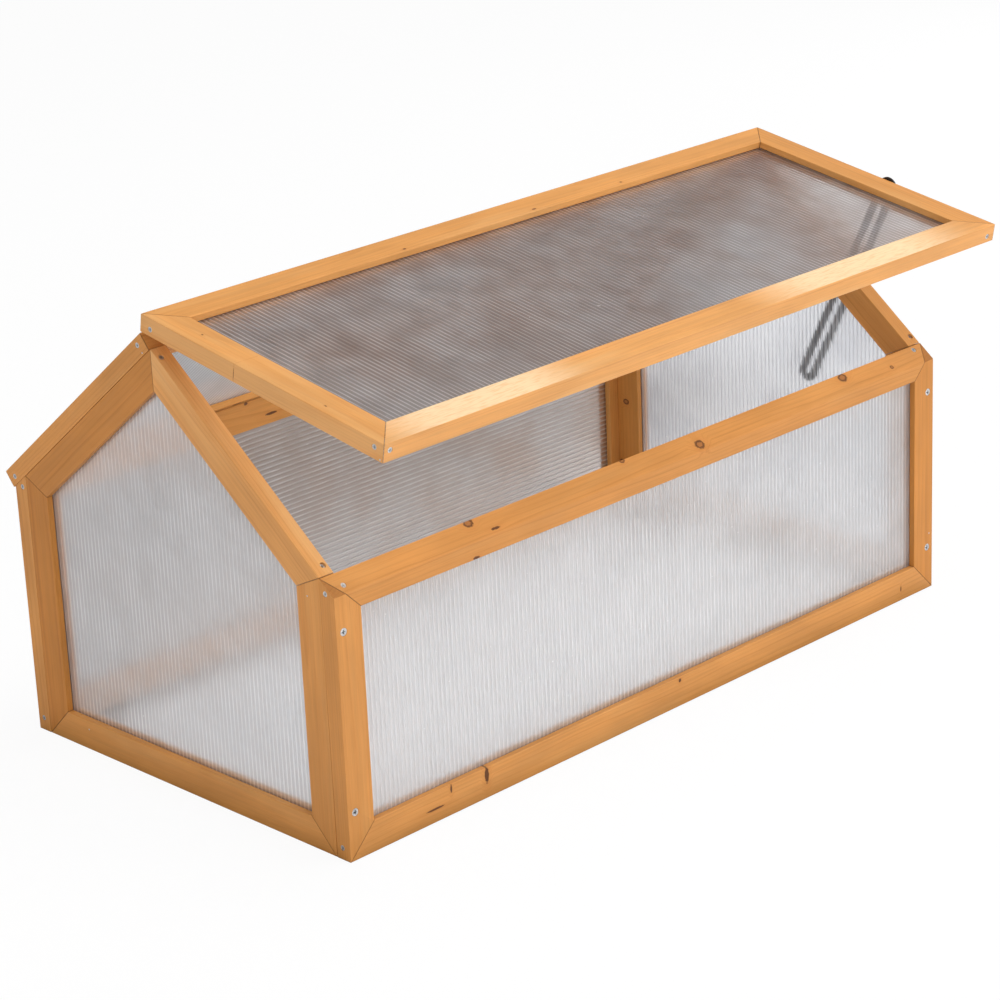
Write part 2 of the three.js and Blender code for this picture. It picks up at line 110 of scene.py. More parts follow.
BRAD = 0.9 * MM  # radius of a nail's head
# paler patches on the lid's front rail: partly wear, partly a painted sheen of a highlight
SHEEN_AND_WEAR_PATCHES = ((135 * MM, 150 * MM), (690 * MM, 190 * MM))  # middles and reaches along the lid's front

# --- Node graphs ---


class Graph:
    """The node tree of a material or a world, written as expressions."""

    def __init__(self, owner):
        self.owner = owner
        owner.use_nodes = True
        self.tree = owner.node_tree
        self.tree.nodes.clear()

    def feed(self, socket, value):
        if isinstance(value, bpy.types.NodeSocket):
            self.tree.links.new(value, socket)
        elif value is not None:
            socket.default_value = value

    def node(self, kind, *values, **settings):
        made = self.tree.nodes.new("ShaderNode" + kind)
        named = settings.pop("named", {})
        for key, value in settings.items():
            setattr(made, key, value)
        for socket, value in zip(made.inputs, values):
            self.feed(socket, value)
        for key, value in named.items():
            self.feed(made.inputs[key], value)
        return made

    def math(self, operation, *values):
        return self.node("Math", *values, operation=operation).outputs[0]

    def add(self, a, b):
        return self.math("ADD", a, b)

    def sub(self, a, b):
        return self.math("SUBTRACT", a, b)

    def mul(self, a, b):
        return self.math("MULTIPLY", a, b)

    def vector(self, operation, *values):
        return self.node("VectorMath", *values, operation=operation).outputs[0]

    def dot(self, a, b):
        return self.node("VectorMath", a, b, operation="DOT_PRODUCT").outputs["Value"]

    def length(self, a):
        return self.node("VectorMath", a, operation="LENGTH").outputs["Value"]

    def scale(self, a, factor):
        made = self.node("VectorMath", a, operation="SCALE")
        self.feed(made.inputs["Scale"], factor)
        return made.outputs[0]

    def combine(self, x, y, z):
        return self.node("CombineXYZ", x, y, z).outputs[0]

    def smooth(self, value, low, high, start=0.0, end=1.0):
        """start below low, end above high, and a smooth step between."""
        made = self.node("MapRange", value, low, high, start, end, interpolation_type="SMOOTHSTEP")
        return made.outputs[0]

    def noise(self, vector, stretch, detail=2.0, roughness=0.5):
        """stretch is one number, or one for each direction."""
        even = (stretch,) * 3 if isinstance(stretch, int) else stretch
        scaled = self.vector("MULTIPLY", vector, even)
        named = {"Vector": scaled, "Scale": 1.0, "Detail": detail, "Roughness": roughness}
        return self.node("TexNoise", named=named).outputs[0]

    def mix(self, factor, a, b, blend="MIX"):
        made = self.node("Mix", data_type="RGBA", blend_type=blend)
        for index, value in ((0, factor), (6, a), (7, b)):
            self.feed(made.inputs[index], value)
        return made.outputs[2]

    def darkened(self, colour, value, low, high, start, end):
        """The colour multiplied by start where the value is under low, by end where it is over high."""
        share = self.smooth(value, low, high, start, end)
        return self.mix(1.0, colour, self.combine(share, share, share), "MULTIPLY")

    def attribute(self, name, output="Fac"):
        return self.node("Attribute", attribute_name=name).outputs[output]

    def place(self):
        return self.node("TexCoord").outputs["Object"]

    def bump(self, height, strength=1.0):
        named = {"Height": height, "Distance": 1.0, "Strength": strength}
        return self.node("Bump", named=named).outputs[0]

    def finish(self, shader, output="OutputMaterial"):
        self.tree.links.new(shader, self.node(output).inputs["Surface"])
        return self.owner

    def finish_opaque(self, colour, roughness, normal, **more):
        named = {"Base Color": colour, "Roughness": roughness, "Normal": normal, **more}
        return self.finish(self.node("BsdfPrincipled", named=named).outputs[0])


def material_graph(name):
    return Graph(bpy.data.materials.new(name))


def rgb(red, green, blue):
    return (red, green, blue, 1.0)


# --- Wood ---

EARLY_WOOD = rgb(0.71, 0.318, 0.088)
LATE_WOOD = rgb(0.52, 0.190, 0.040)
PALE_WOOD = rgb(0.76, 0.43, 0.17)
# pale cream of the lid rail's patches: partly rubbed wood, partly a painted highlight's sheen
SHEEN_AND_WEAR_WOOD = rgb(0.95, 0.70, 0.43)
DEEP_STAIN = rgb(0.76, 0.68, 0.48)
THIN_STAIN = rgb(1.02, 1.09, 1.22)
SEAM_STAIN = rgb(0.13, 0.050, 0.018)
END_STAIN = rgb(0.42, 0.34, 0.28)
KNOT_HEART = rgb(0.33, 0.125, 0.032)
KNOT_RIM = rgb(0.085, 0.028, 0.010)
RING_WIDTH = 3.1 * MM
SEAM = 0.6 * MM  # how far the stain has darkened each batten's sawn end
TONES = {
    "left_end_back_post": 0.0,
    "left_end_front_post": 0.42,
    "left_end_bottom_rail": 0.5,
    "left_end_back_rafter": 0.1,
    "left_end_front_rafter": 0.9,
    "right_end_back_post": 0.1,
    "right_end_front_rafter": 0.4,
    "front_left_stile": 0.38,
    "front_right_stile": 0.08,
    "front_top_rail": 0.38,
    "front_bottom_rail": 0.55,
    "roof_left_rail": 0.45,
    "roof_eave_rail": 0.35,
    "lid_left_rail": 0.85,
    "lid_front_rail": 1.0,
    "lid_ridge_rail": 0.7,
    "lid_right_rail": 0.6,
}  # how thin the stain is, from 0 to 1, on the battens that differ most


class Knot:
    """A knot that runs through a batten. A mark is a dark resin streak or spike knot, with no pale heart."""

    def __init__(self, centre, grain_way, out, along, across, is_mark):
        self.centre = centre
        self.along = grain_way / along
        self.across = out.cross(grain_way).normalized() / across
        self.push = 0.5 * across if is_mark else 1.4 * across
        self.is_mark = is_mark


def knot_masks(g, place, knots):
    """Knot heart, dark rim, grain swirl and darker surround, each as one number for all the knots."""
    heart, rim, swirl, halo = 0.0, 0.0, 0.0, 0.0
    if not knots:
        return heart, rim, swirl, halo
    ragged = g.mul(g.noise(place, 420, 2.0), 0.7)
    for knot in knots:
        reach = g.vector("SUBTRACT", place, tuple(knot.centre))
        along = g.dot(reach, tuple(knot.along))
        across = g.dot(reach, tuple(knot.across))
        far = g.add(g.length(g.combine(along, across, 0.0)), ragged)
        inside = g.smooth(far, 1.12, 1.36, 1.0, 0.0)
        edge = inside
        if not knot.is_mark:
            edge = g.mul(g.smooth(far, 0.85, 1.08), g.smooth(far, 1.3, 1.6, 1.0, 0.0))
        near = g.smooth(far, 1.1, 3.6, 1.0, 0.0)
        heart = g.math("MAXIMUM", heart, inside)
        rim = g.math("MAXIMUM", rim, edge)
        halo = g.math("MAXIMUM", halo, near)
        swirl = g.add(swirl, g.mul(near, knot.push))
    return heart, rim, swirl, halo


def growth_rings(g, grain, swirl):
    """How dark the rings' late wood is: slanting rings round the pith, each dark in its own measure."""
    parts = g.node("SeparateXYZ", grain)
    from_pith = g.length(g.combine(0.0, parts.outputs[1], parts.outputs[2]))
    slow_bend = g.mul(g.sub(g.noise(grain, (2.2, 14, 14)), 0.5), 15 * MM)
    quick_bend = g.mul(g.sub(g.noise(grain, (14, 60, 60)), 0.5), 1.6 * MM)
    depth = g.add(from_pith, g.add(slow_bend, quick_bend))
    depth = g.add(depth, swirl)
    ring_place = g.math("DIVIDE", depth, RING_WIDTH)
    ring = g.math("FRACT", ring_place)
    late = g.mul(g.smooth(ring, 0.50, 0.92), g.smooth(ring, 0.94, 1.0, 1.0, 0.0))
    each_ring = g.noise(g.combine(ring_place, 0.0, 0.0), (0.5, 1, 1), 1.0)
    return g.mul(late, g.smooth(each_ring, 0.35, 0.75, 0.12, 1.0))


def stain_colour(g, grain, late, fibres):
    """The stained wood's colour, before wear, joints and knots."""
    tone = g.attribute("tone")
    streaks = g.noise(grain, (5, 260, 260), 2.0)
    stain = g.noise(grain, (9, 28, 28), 3.0)
    fleck = g.smooth(g.noise(grain, (150, 1300, 1300), 1.0), 0.70, 0.80)
    pore = g.smooth(g.noise(grain, (26, 760, 760), 1.0), 0.64, 0.76)
    bleached = g.smooth(g.noise(grain, (5, 36, 36), 2.0), 0.50, 0.70)
    colour = g.mix(g.mul(late, 0.50), EARLY_WOOD, LATE_WOOD)
    colour = g.darkened(colour, fibres, 0.2, 0.8, 0.93, 1.05)
    colour = g.darkened(colour, streaks, 0.25, 0.75, 0.95, 1.04)
    colour = g.darkened(colour, stain, 0.25, 0.75, 0.90, 1.06)
    colour = g.mix(g.mul(pore, 0.30), colour, LATE_WOOD)
    colour = g.mix(g.mul(bleached, g.mul(tone, 0.40)), colour, PALE_WOOD)
    colour = g.mix(1.0, colour, g.mix(tone, DEEP_STAIN, THIN_STAIN), "MULTIPLY")
    return g.mix(g.mul(fleck, 0.45), colour, LATE_WOOD)


def rubbed(g, grain, colour, centre, way, half_length, out):
    """The colour with a paler patch on the face that looks out, round one place along a batten: partly wear,
    partly a painted sheen of a highlight.
    """
    reach = g.vector("SUBTRACT", g.place(), tuple(centre))
    far = g.math("ABSOLUTE", g.dot(reach, tuple(way)))
    on_face = g.smooth(g.dot(g.node("TexCoord").outputs["Normal"], tuple(out)), 0.7, 0.95)
    rough = g.smooth(g.noise(grain, (60, 500, 500), 3.0), 0.25, 0.6, 0.55, 1.0)
    share = g.mul(g.smooth(far, half_length * 0.35, half_length, 0.85, 0.0), rough)
    return g.mix(g.mul(share, on_face), colour, SHEEN_AND_WEAR_WOOD)


def dark_seams(g, colour):
    """The colour with a thin dark line at each sawn end, where the stain has gathered."""
    ends = g.node("SeparateXYZ", g.attribute("from_ends", "Vector"))
    nearest = g.math("MINIMUM", ends.outputs[0], ends.outputs[1])
    seam = g.smooth(nearest, SEAM * 0.3, SEAM, 1.0, 0.0)
    return g.mix(g.mul(seam, 0.42), colour, SEAM_STAIN)


def stained_wood(name, knots=(), worn=()):
    """Golden stained softwood: growth rings, fibres, flecks, uneven stain, wear with a painted sheen, and
    knots.
    """
    g = material_graph(name)
    grain = g.attribute("grain", "Vector")
    heart, rim, swirl, halo = knot_masks(g, g.place(), knots)
    late = growth_rings(g, grain, swirl)
    fibres = g.noise(grain, (22, 1500, 1500), 3.0, 0.6)
    colour = stain_colour(g, grain, late, fibres)
    # worn patches that also paint a highlight's sheen on the face that looks out
    for patch in worn:
        colour = rubbed(g, grain, colour, *patch)
    colour = dark_seams(g, colour)
    height = g.add(g.mul(late, 0.035 * MM), g.mul(fibres, 0.05 * MM))
    if knots:
        colour = g.mix(g.mul(halo, 0.28), colour, LATE_WOOD)
        colour = g.mix(g.mul(heart, 0.85), colour, KNOT_HEART)
        colour = g.mix(g.mul(rim, 0.85), colour, KNOT_RIM)
        height = g.sub(height, g.mul(rim, 0.1 * MM))
    dark_end = g.mix(1.0, colour, END_STAIN, "MULTIPLY")
    colour = g.mix(g.mul(g.attribute("end_grain"), 0.5), colour, dark_end)
    roughness = g.smooth(fibres, 0.2, 0.8, 0.40, 0.56)
    return g.finish_opaque(colour, roughness, g.bump(height, 0.9), **{"Specular IOR Level": 0.25})


# --- Twin-wall sheet ---

NEUTRAL = rgb(0.965, 0.98, 0.99)
CLEAR_FACE = 0.038  # share of the light that one clear face mirrors head-on
SOFT_SHARE = 0.30  # share of the lens that blurs; with less, renders of the sheets come out grainy
# the tint in each sheet's cloudy patches paints shade into the view through the right end, back and lid
# sheets, brownish on the lid
SKINS = {
    "front_sheet": {"cloudy": 0.22, "mirror": 2.4, "ribbed": 0.36},
    "left_end_sheet": {"cloudy": 0.05, "mirror": 2.4, "ribbed": 0.34, "lean": 0.60, "blur": 0.06},
    "right_end_sheet": {
        "cloudy": 0.022, "mirror": 0.7, "ribbed": 0.36, "painted_shade_tint": rgb(0.83, 0.84, 0.86)
    },
    "back_sheet": {"cloudy": 0.015, "mirror": 1.0, "ribbed": 0.38, "painted_shade_tint": rgb(0.94, 0.88, 0.84)},
    "roof_sheet": {"cloudy": 0.24, "mirror": 0.6, "ribbed": 0.30},
    "lid_sheet": {"cloudy": 0.012, "mirror": 0.8, "ribbed": 0.27, "painted_shade_tint": rgb(0.83, 0.745, 0.695)},
}


def through_light(g, tint):
    """1 for the rays that only carry light (shadow and diffuse rays), and the clear surface for them."""
    path = g.node("LightPath")
    light_ray = g.math("MAXIMUM", path.outputs["Is Shadow Ray"], path.outputs["Is Diffuse Ray"])
    return light_ray, g.node("BsdfTransparent", tint).outputs[0]


def mixed(g, factor, a, b):
    return g.node("MixShader", factor, a, b).outputs[0]


def milky(g, colour, share_through=0.5):
    """Scattering plastic: part of the light comes back, part goes on."""
    front = g.node("BsdfDiffuse", colour).outputs[0]
    through = g.node("BsdfTranslucent", colour).outputs[0]
    return mixed(g, share_through, front, through)


def rib_wave(g, steepness):
    """The skin's normal, leaning sideways more and more towards each rib, where the plastic has sunk."""
    across = g.attribute("across", "Vector")
    turned = g.node(
        "VectorTransform", across, vector_type="VECTOR", convert_from="OBJECT", convert_to="WORLD"
    ).outputs[0]
    cell = g.math("FRACT", g.attribute("flute"))
    offset = g.sub(g.mul(cell, 2.0), 1.0)
    geometry = g.node("NewGeometry")
    side = g.sub(1.0, g.mul(geometry.outputs["Backfacing"], 2.0))
    lean = g.mul(g.mul(g.mul(g.mul(offset, offset), offset), steepness), side)
    return g.vector("NORMALIZE", g.vector("ADD", geometry.outputs["Normal"], g.scale(turned, lean)))


def mirror_share(g, interfaces):
    """Share of light mirrored by a few clear faces seen at the same slant, the same from both sides."""
    geometry = g.node("NewGeometry")
    facing = g.math("ABSOLUTE", g.dot(geometry.outputs["Normal"], geometry.outputs["Incoming"]))
    grazing = g.math("POWER", g.sub(1.0, facing), 5.0)
    one_face = g.add(CLEAR_FACE, g.mul(grazing, 1 - CLEAR_FACE))
    return g.math("MINIMUM", g.mul(one_face, interfaces), 0.9)


def sheet_skin(name, cloudy, mirror, ribbed, painted_shade_tint=NEUTRAL, lean=1.5, blur=0.10):
    """Outer skin: a thin lens between the ribs, a soft reflection, haze, cloudy patches, some tinted with
    painted shade, and fine scuffs.
    mirror counts the faces that reflect, ribbed is the haze over the ribs, and lean and blur shape
    the lens."""
    g = material_graph(name)
    place = g.place()
    light_ray, clear = through_light(g, rgb(0.965, 0.975, 0.975))
    wave = rib_wave(g, lean)
    patch = g.smooth(g.noise(place, (9, 6, 9), 3.0, 0.6), 0.38, 0.66)
    # painted shade: in the cloudy patches the light seen through the sheet takes its darker tint
    tint = g.mix(g.add(g.mul(patch, 0.6), 0.4), rgb(0.975, 0.985, 0.99), painted_shade_tint)
    crisp = g.node("BsdfRefraction", tint, blur, 1.08, wave, distribution="GGX").outputs[0]
    soft = g.node("BsdfRefraction", tint, 0.50, 1.18, wave, distribution="GGX").outputs[0]
    lens = mixed(g, SOFT_SHARE, crisp, soft)
    scuffs = g.smooth(g.noise(place, (140, 900, 300), 2.0), 0.74, 0.80)
    specks = g.smooth(g.noise(place, 190, 1.0), 0.80, 0.84)
    clouds = g.smooth(g.noise(place, 7, 2.0), 0.3, 0.7, cloudy * 0.7, cloudy * 1.3)
    cell = g.sub(g.mul(g.math("FRACT", g.attribute("flute")), 2.0), 1.0)
    over_rib = g.smooth(g.math("ABSOLUTE", cell), 0.55, 0.92)
    faded = g.smooth(g.noise(place, 30, 2.0), 0.3, 0.7, 0.6, 1.15)
    haze = g.add(clouds, g.mul(g.math("MAXIMUM", scuffs, specks), 0.3))
    haze = g.add(haze, g.mul(g.mul(over_rib, faded), ribbed))
    plastic = g.mix(over_rib, rgb(0.955, 0.97, 0.98), rgb(0.90, 0.915, 0.925))
    body = mixed(g, haze, lens, milky(g, plastic))
    shine = g.node("BsdfGlossy", rgb(1, 1, 1), 0.10).outputs[0]
    seen = mixed(g, mirror_share(g, mirror), body, shine)
    carried = mixed(g, 0.06, clear, milky(g, rgb(0.88, 0.895, 0.91)))
    return g.finish(mixed(g, light_ray, seen, carried))


def sheet_inside():
    """Inner faces of the skins: clear, with a trace of haze."""
    g = material_graph("twin_wall_inner_skin")
    clear = g.node("BsdfTransparent", rgb(0.985, 0.985, 0.985)).outputs[0]
    haze = g.smooth(g.noise(g.place(), 60, 1.0), 0.3, 0.7, 0.003, 0.012)
    return g.finish(mixed(g, haze, clear, milky(g, rgb(0.88, 0.88, 0.9))))


def sheet_rib():
    """Ribs: thin walls that scatter and mirror more than the skins, so they draw the fine lines."""
    g = material_graph("twin_wall_rib")
    clear = g.node("BsdfTransparent", rgb(0.93, 0.93, 0.94)).outputs[0]
    haze = g.smooth(g.noise(g.place(), 30, 2.0), 0.3, 0.7, 0.05, 0.09)
    body = mixed(g, haze, clear, milky(g, rgb(0.9, 0.9, 0.93)))
    shine = g.node("BsdfGlossy", rgb(1, 1, 1), 0.22).outputs[0]
    return g.finish(mixed(g, 0.07, body, shine))


# --- Metal ---


def zinc_plate():
    """Bright zinc plate with tumbling marks and faint duller patches."""
    g = material_graph("zinc_plate")
    place = g.place()
    marks = g.noise(place, (2600, 700, 2600), 2.0, 0.6)
    patches = g.noise(place, 260, 2.0)
    colour = g.mix(g.smooth(patches, 0.3, 0.7), rgb(0.50, 0.51, 0.52), rgb(0.72, 0.72, 0.71))
    colour = g.darkened(colour, marks, 0.2, 0.8, 0.88, 1.05)
    roughness = g.add(g.smooth(patches, 0.3, 0.7, 0.26, 0.42), g.mul(marks, 0.08))
    return g.finish_opaque(colour, roughness, g.bump(g.mul(marks, 0.02 * MM), 0.8), Metallic=1.0)


def powder_coat():
    """Black powder coat: orange-peel surface, dust and slightly rubbed patches."""
    g = material_graph("black_powder_coat")
    place = g.place()
    peel = g.noise(place, 900, 1.0)
    worn = g.smooth(g.noise(place, (55, 55, 160), 3.0), 0.52, 0.75)
    dust = g.noise(place, 420, 3.0)
    colour = g.mix(g.mul(worn, 0.35), rgb(0.012, 0.012, 0.014), rgb(0.05, 0.05, 0.053))
    colour = g.mix(g.smooth(dust, 0.55, 0.8, 0.0, 0.12), colour, rgb(0.16, 0.155, 0.15))
    roughness = g.smooth(peel, 0.3, 0.7, 0.38, 0.5)
    return g.finish_opaque(colour, roughness, g.bump(g.mul(peel, 0.06 * MM), 0.9))


# --- Mesh tools ---


def welded(node):
    """A CAD node as one closed mesh, its vertices joined and its coplanar triangles merged."""
    mesh = frame["nodes"][node].data
    bm = bmesh.new()
    corners = [bm.verts.new(v.co) for v in mesh.vertices]
    for face in mesh.polygons:
        bm.faces.new([corners[i] for i in face.vertices])
    bmesh.ops.remove_doubles(bm, verts=bm.verts, dist=WELD)
    bmesh.ops.dissolve_limit(bm, angle_limit=math.radians(0.6), verts=bm.verts, edges=bm.edges)
    bm.normal_update()
    return bm


def make_object(name, bm):
    mesh = bpy.data.meshes.new(name)
    bm.to_mesh(mesh)
    bm.free()
    made = bpy.data.objects.new(name, mesh)
    bpy.context.scene.collection.objects.link(made)
    return made


def shade(piece, angle=38):
    """Smooth shading that keeps the corners crisp and the flats flat."""
    piece.data.shade_smooth()
    piece.data.set_sharp_from_angle(angle=math.radians(angle))
    even = piece.modifiers.new("even_shading", "WEIGHTED_NORMAL")
    even.keep_sharp = True


def add_piece(piece, body, slot, *materials):
    for material in materials:
        piece.data.materials.append(material)
    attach(piece, body)


def standing(way, origin):
    """A matrix that stands local z along a direction, from a point."""
    return Matrix.Translation(origin) @ way.to_track_quat("Z", "Y").to_matrix().to_4x4()


def cut(piece, cutters):
    """Takes each cutter mesh away from a piece, for good."""
    for index, cutter_mesh in enumerate(cutters):
        cutter = make_object(f"cutter_{index}", cutter_mesh)
        boolean = piece.modifiers.new("cut", "BOOLEAN")
        boolean.operation = "DIFFERENCE"
        boolean.solver = "EXACT"
        boolean.object = cutter
        graph = bpy.context.evaluated_depsgraph_get()
        result = bpy.data.meshes.new_from_object(piece.evaluated_get(graph), depsgraph=graph)
        piece.modifiers.remove(boolean)
        piece.data = result
        bpy.data.objects.remove(cutter)


def lathe(bm, profile, segments, thread=0.0, pitch=1.0):
    """Turns [radius, z] points about z, from the low end up, and returns the last ring. A thread winds
    round the points that have a third value, the share of its height that it stands out by there."""
    rings = []
    for radius, z, *share in profile:
        if radius == 0:
            rings.append([bm.verts.new((0, 0, z))])
            continue
        ring = []
        for i in range(segments):
            turn = i / segments
            crest = 0.0
            if share:
                phase = (z / pitch - turn) % 1.0
                crest = thread * max(0.0, 1 - abs(phase - 0.5) * 3.2) * share[0]
            angle = turn * 2 * math.pi
            reach = radius + crest
            ring.append(bm.verts.new((reach * math.cos(angle), reach * math.sin(angle), z)))
        rings.append(ring)
    for low, high in zip(rings, rings[1:]):
        for i in range(segments):
            j = (i + 1) % segments
            if len(low) == 1:
                bm.faces.new((low[0], high[j], high[i]))
            elif len(high) == 1:
                bm.faces.new((low[i], low[j], high[0]))
            else:
                bm.faces.new((low[i], low[j], high[j], high[i]))
    return rings[-1]


def cross_outline(reach, blade, z):
    """Twelve corners of a cross, counter-clockwise."""
    quarter = [(reach, -blade), (reach, blade), (blade, blade)]
    corners = []
    for c, s in ((1, 0), (0, 1), (-1, 0), (0, -1)):
        corners += [(x * c - y * s, x * s + y * c, z) for x, y in quarter]
    return corners


def cross_recess(bm, rim, reach, blade, depth, z):
    """Closes a flat head inside its rim with a tapered cross-shaped socket."""
    mouth = [bm.verts.new(p) for p in cross_outline(reach, blade, z)]
    floor = [bm.verts.new(p) for p in cross_outline(reach * 0.5, blade * 0.7, z - depth)]
    count = len(mouth)
    for i in range(count):
        j = (i + 1) % count
        bm.faces.new((mouth[i], floor[i], floor[j], mouth[j]))
    bm.faces.new(floor)
    loops = [bm.edges.get((a, b)) for ring in (mouth, rim) for a, b in zip(ring, ring[1:] + ring[:1])]
    bmesh.ops.triangle_fill(bm, use_beauty=True, use_dissolve=False, edges=loops)


def thread_rings(radius, low, high, pitch):
    """Profile points four to each turn of the thread, which fades in and out at its ends."""
    count = max(2, round((high - low) / pitch * 4))
    points = []
    for i in range(count + 1):
        share = i / count
        fade = min(1.0, share * count / 5, (1 - share) * count / 3)
        points.append((radius, low + (high - low) * share, fade))
    return points


def wood_screw(head, shank, length, spare=0.0, plain=False):
    """A countersunk screw: z = 0 is the face of its head. A plain one is the shape of its hole."""
    bm = bmesh.new()
    tip = shank * 2.2
    segments = 24
    if plain:
        profile = [(0, -length - spare), (shank * 0.25 + spare, -length - spare)]
        profile += [(shank + spare, tip - length), (shank + spare, shank - head)]
        profile += [(head + spare, 0), (head + spare, 3 * MM), (0, 3 * MM)]
        lathe(bm, profile, segments)
    else:
        core = shank * 0.72
        pitch = shank * 0.95
        profile = [(0, -length), (core * 0.3, tip * 0.25 - length), (core, tip - length)]
        profile += thread_rings(core, tip - length, -length * 0.42, pitch)[1:]
        profile += [(shank * 0.94, -length * 0.40), (shank * 0.94, shank - head)]
        profile += [(head * 0.97, -head * 0.08), (head, -head * 0.04), (head * 0.97, 0)]
        rim = lathe(bm, profile, segments, thread=shank * 0.28, pitch=pitch)
        cross_recess(bm, rim, head * 0.60, head * 0.17, head * 0.6, 0)
    bmesh.ops.recalc_face_normals(bm, faces=bm.faces)
    return bm


# --- Battens ---


def batten_ways(bm):
    """Unit vectors along a batten, through its thickness and across its face."""
    longest = max(bm.edges, key=lambda e: e.calc_length())
    along = (longest.verts[1].co - longest.verts[0].co).normalized()
    widest = max(bm.faces, key=lambda f: f.calc_area())
    out = widest.normal.copy()
    return along, out, out.cross(along).normalized()


def ease_long_edges(bm, along):
    lengths = [e.calc_length() for e in bm.edges]
    limit = 0.3 * max(lengths)
    chosen = []
    for edge in bm.edges:
        if len(edge.link_faces) != 2 or edge.calc_length() < limit:
            continue
        way = (edge.verts[1].co - edge.verts[0].co).normalized()
        if abs(way.dot(along)) > 0.999 and edge.calc_face_angle_signed() > math.radians(15):
            chosen.append(edge)
    bmesh.ops.bevel(
        bm, geom=chosen, offset=EASING, offset_type="OFFSET", segments=3, profile=0.5, affect="EDGES"
    )


def store(mesh, name, domain, values):
    """Keeps one number or one vector for each vertex or face of a mesh, under a name."""
    is_vector = not isinstance(values[0], float)
    kind, key = ("FLOAT_VECTOR", "vector") if is_vector else ("FLOAT", "value")
    layer = mesh.attributes.new(name, kind, domain)
    flat = [number for value in values for number in value] if is_vector else values
    layer.data.foreach_set(key, flat)


def from_ends(mesh, along):
    """Each vertex's distances from the planes of the batten's two sawn ends."""
    planes = []
    for way in (along, -along):
        faces = [face for face in mesh.polygons if face.normal.dot(way) > SAWN]
        largest = max(faces, key=lambda face: face.area)
        planes.append((largest.normal.copy(), largest.center.copy()))
    return [
        (*[-(vertex.co - centre).dot(normal) for normal, centre in planes], 0.0) for vertex in mesh.vertices
    ]


def grain_attributes(piece, along, out, across, rng, tone):
    """Grain coordinates from a pith somewhere beside the batten, its tone, and where its ends are."""
    mesh = piece.data
    pith_out = rng.uniform(25, 70) * MM * rng.choice((-1, 1))
    pith_across = rng.uniform(-45, 45) * MM
    shift = rng.uniform(0, 20)
    distances = from_ends(mesh, along)
    centre = sum((v.co for v in mesh.vertices), Vector()) / len(mesh.vertices)
    start = Vector((shift, pith_across, pith_out))
    reaches = [v.co - centre for v in mesh.vertices]
    spots = [start + Vector((r.dot(along), r.dot(across), r.dot(out))) for r in reaches]
    ends = [1.0 if abs(face.normal.dot(along)) > SAWN else 0.0 for face in mesh.polygons]
    store(mesh, "grain", "POINT", spots)
    store(mesh, "tone", "POINT", [tone] * len(spots))
    store(mesh, "from_ends", "POINT", distances)
    store(mesh, "end_grain", "FACE", ends)


def batten(node, material, rng, screws):
    """A CAD batten with eased edges and holes for its mitre screws."""
    bm = welded(node)
    along, out, across = batten_ways(bm)
    ease_long_edges(bm, along)
    piece = make_object("eased_" + node, bm)
    cut(piece, [hole_mesh(place, length) for place, length in screws])
    tone = TONES.get(node, rng.uniform(0.2, 0.8))
    grain_attributes(piece, along, out, across, rng, tone)
    shade(piece)
    add_piece(piece, BODY_OF[node], "battens", material)
    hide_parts(node)


def hole_mesh(place, length):
    hole = wood_screw(**MITRE_SCREW, length=length, spare=HOLE_PLAY, plain=True)
    hole.transform(place)
    return hole


# --- Panels: where their corners and faces are ---


class Panel:
    """Directions and reach of a long panel: +X across it, up climbs its face, through points to the back."""

    def __init__(self, sheet, battens):
        bm = welded(sheet)
        normal = max(bm.faces, key=lambda f: f.calc_area()).normal.copy()
        bm.free()
        self.up = normal.cross(X).normalized()
        if self.up.z < 0:
            self.up.negate()
        self.through = self.up.cross(X).normalized()
        self.ways = (X, self.up, self.through)
        points = [v.co for node in battens for v in frame["nodes"][node].data.vertices]
        self.low = Vector([min(p.dot(way) for p in points) for way in self.ways])
        self.high = Vector([max(p.dot(way) for p in points) for way in self.ways])

    def point(self, across, up, through):
        """A point from its distances: negative ones are measured from the panel's far side."""
        place = Vector()
        for way, low, high, distance in zip(self.ways, self.low, self.high, (across, up, through)):
            place += way * (low + distance if distance >= 0 else high + distance)
        return place


FAR = -1e-9  # the far side of a panel, in Panel.point

LONG_PANELS = {
    "front": ("bottom_rail", "top_rail", "left_stile", "right_stile"),
    "back": ("bottom_rail", "top_rail", "left_stile", "right_stile"),
    "roof": ("eave_rail", "ridge_rail", "left_rail", "right_rail"),
    "lid": ("front_rail", "ridge_rail", "left_rail", "right_rail"),
}


def long_panels():
    panels = {}
    for name, members in LONG_PANELS.items():
        panels[name] = Panel(f"{name}_sheet", [f"{name}_{m}" for m in members])
    return panels


def rafter_ways(panels):
    """Directions up the front rafters and straight out of them. The front rail's bevel has the same."""
    roof = panels["roof"]
    slope = math.atan2(roof.up.z, -roof.up.y)
    return Vector((0, math.cos(slope), math.sin(slope))), Vector((0, -math.sin(slope), math.cos(slope)))


def bevel_edge():
    """A point at x = 0 on the upper edge of the front top rail's bevel."""
    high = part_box("front_top_rail")[1]
    return Vector((0, high.y, high.z))


